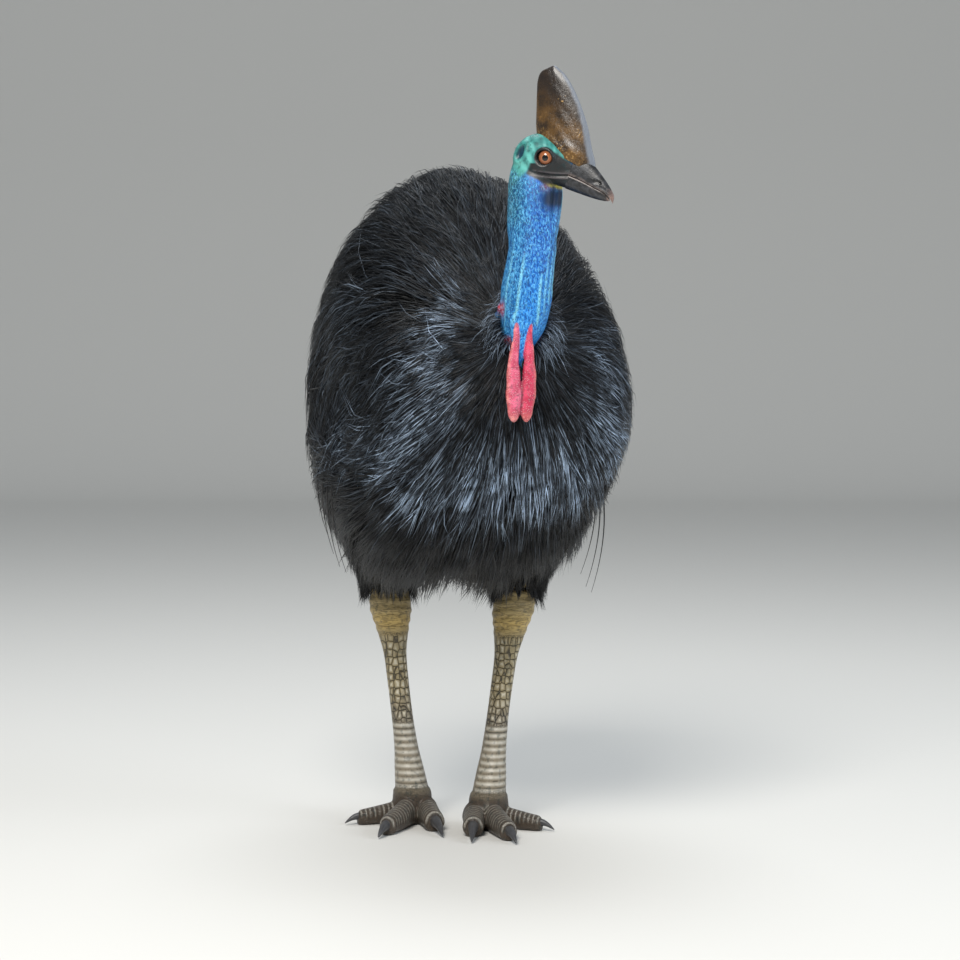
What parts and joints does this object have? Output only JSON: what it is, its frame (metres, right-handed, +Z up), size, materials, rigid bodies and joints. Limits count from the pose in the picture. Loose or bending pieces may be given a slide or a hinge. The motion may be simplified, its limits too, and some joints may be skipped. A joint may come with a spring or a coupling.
{
  "type": "cassowary figure",
  "caption": "Life-size figure of a standing adult cassowary, head turned to its left, with casque, wattles and shaggy plumage.",
  "frame": {"origin": "on the floor, under the middle of the bird's outline seen from above", "axes": "+Z up, the body faces -Y, the bird's left side is towards +X"},
  "size_m": [0.5658, 0.8694, 1.3802],
  "materials": {
    "bill": "dark horn",
    "casque": "brown horn, grey along the front",
    "claw": "black horn",
    "eye": "wet, orange-brown iris",
    "foot": "grey-brown scaled skin",
    "head_skin": "pale blue-green skin with black bristles",
    "neck_red_skin": "bare blue skin with red folds at the sides",
    "neck_blue_skin": "bare wrinkled blue skin",
    "shank": "tan scaled skin",
    "plumage": "coarse glossy black feathers, like hair",
    "wattle": "bare pimpled red skin",
    "quill": "bare black quill"
  },
  "bodies": {
    "root": {"bill_lower": "bill", "bill_upper": "bill", "casque": "casque", "claw_inner_left": "claw", "claw_inner_right": "claw", "claw_middle_left": "claw", "claw_middle_right": "claw", "claw_outer_left": "claw", "claw_outer_right": "claw", "eye_left": "eye", "eye_right": "eye", "foot_left": "foot", "foot_right": "foot", "head": "head_skin", "neck_lower": "neck_red_skin", "neck_upper": "neck_blue_skin", "shank_left": "shank", "shank_right": "shank", "tail": "plumage", "thigh_left": "plumage", "thigh_right": "plumage", "toe_inner_left": "foot", "toe_inner_right": "foot", "toe_middle_left": "foot", "toe_middle_right": "foot", "toe_outer_left": "foot", "toe_outer_right": "foot", "torso": "plumage", "wattle_left": "wattle", "wattle_right": "wattle", "wing_left": "quill", "wing_right": "quill"}
  },
  "joints": []
}
